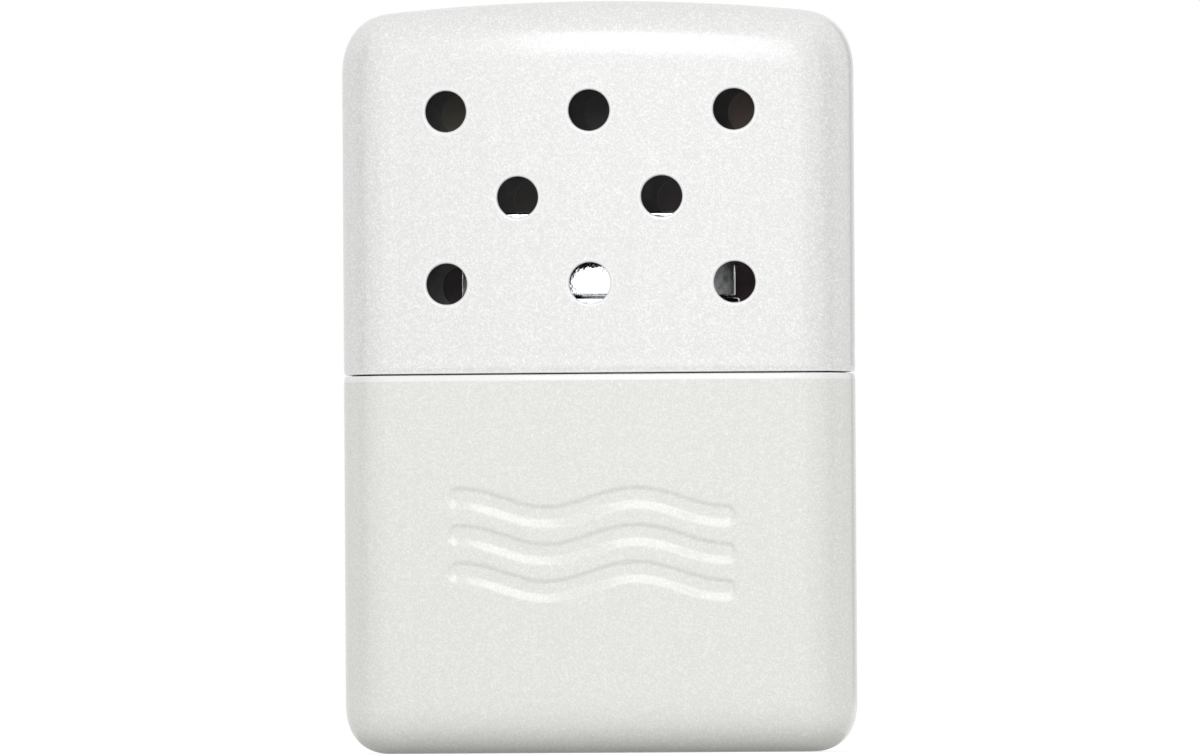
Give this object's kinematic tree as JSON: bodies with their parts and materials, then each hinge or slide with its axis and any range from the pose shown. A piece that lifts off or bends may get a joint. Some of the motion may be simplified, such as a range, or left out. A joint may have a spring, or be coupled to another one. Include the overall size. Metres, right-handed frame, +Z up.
{
  "type": "catalytic hand warmer",
  "caption": "Pocket hand warmer: a painted flat metal case full of cotton, a vented pull-off lid over a chromed sleeve, and a catalytic burner on an oblong filler neck.",
  "frame": {"origin": "middle of the flat underside of the case, on which it stands upright", "axes": "+Z up through the lid, along which the lid and the burner pull off; X along the width; the front faces -Y"},
  "size_m": [0.0512, 0.015, 0.075],
  "materials": {
    "pearl_paint": "gloss pearl white paint with a fine sparkle",
    "chrome_plate": "bright chrome plate",
    "wire_gauze": "woven stainless wire",
    "catalyst_fleece": "grey glass fibre fleece, platinum coated",
    "cotton": "loose white cotton wadding"
  },
  "bodies": {
    "tank": {"case_shell": "pearl_paint", "tank_top": "chrome_plate", "filler_neck": "chrome_plate", "cotton_wick": "cotton", "cotton_wad_1": "cotton", "cotton_wad_2": "cotton", "cotton_wad_3": "cotton", "cotton_wad_4": "cotton"},
    "burner": {"burner_base": "chrome_plate", "burner_cap": "chrome_plate", "upper_gauze": "wire_gauze", "lower_gauze": "wire_gauze", "catalyst_pad": "catalyst_fleece"},
    "lid": {"lid_shell": "pearl_paint"}
  },
  "joints": [
    {"name": "lid_lift", "type": "slide", "parent": "tank", "child": "lid", "axis": [0, 0, 1], "range_m": [0, 0.036]},
    {"name": "burner_pull", "type": "slide", "parent": "tank", "child": "burner", "axis": [0, 0, 1], "range_m": [0, 0.016]}
  ]
}
